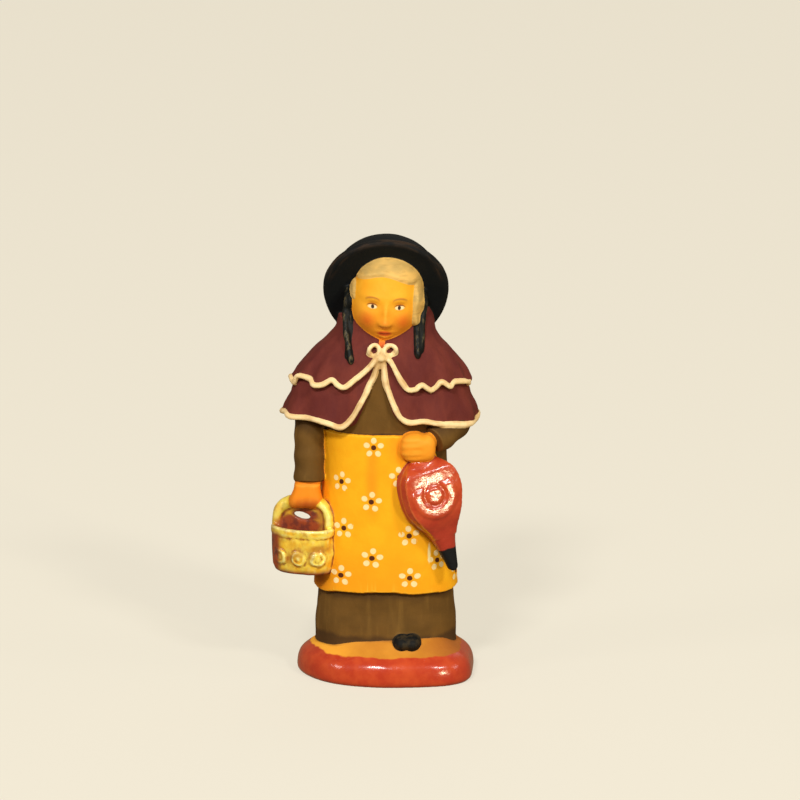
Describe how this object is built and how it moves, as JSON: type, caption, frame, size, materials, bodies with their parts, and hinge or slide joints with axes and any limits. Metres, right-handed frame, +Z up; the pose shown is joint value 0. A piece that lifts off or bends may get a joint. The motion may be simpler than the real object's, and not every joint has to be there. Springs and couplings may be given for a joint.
{
  "type": "santon figure",
  "caption": "Small painted clay nativity figure of an old countrywoman in a wide hat and a cape, holding a basket and hand bellows, on an oval base; stands on a flat surface.",
  "frame": {"origin": "middle of the oval base's flat underside, on the surface that the figure stands on", "axes": "+Z up; the figure looks along -Y; +X is to the viewer's right when facing it"},
  "size_m": [0.0328, 0.0229, 0.0704],
  "materials": {
    "painted_clay": "satin"
  },
  "bodies": {
    "root": {"santon_figure": "painted_clay"}
  },
  "joints": []
}
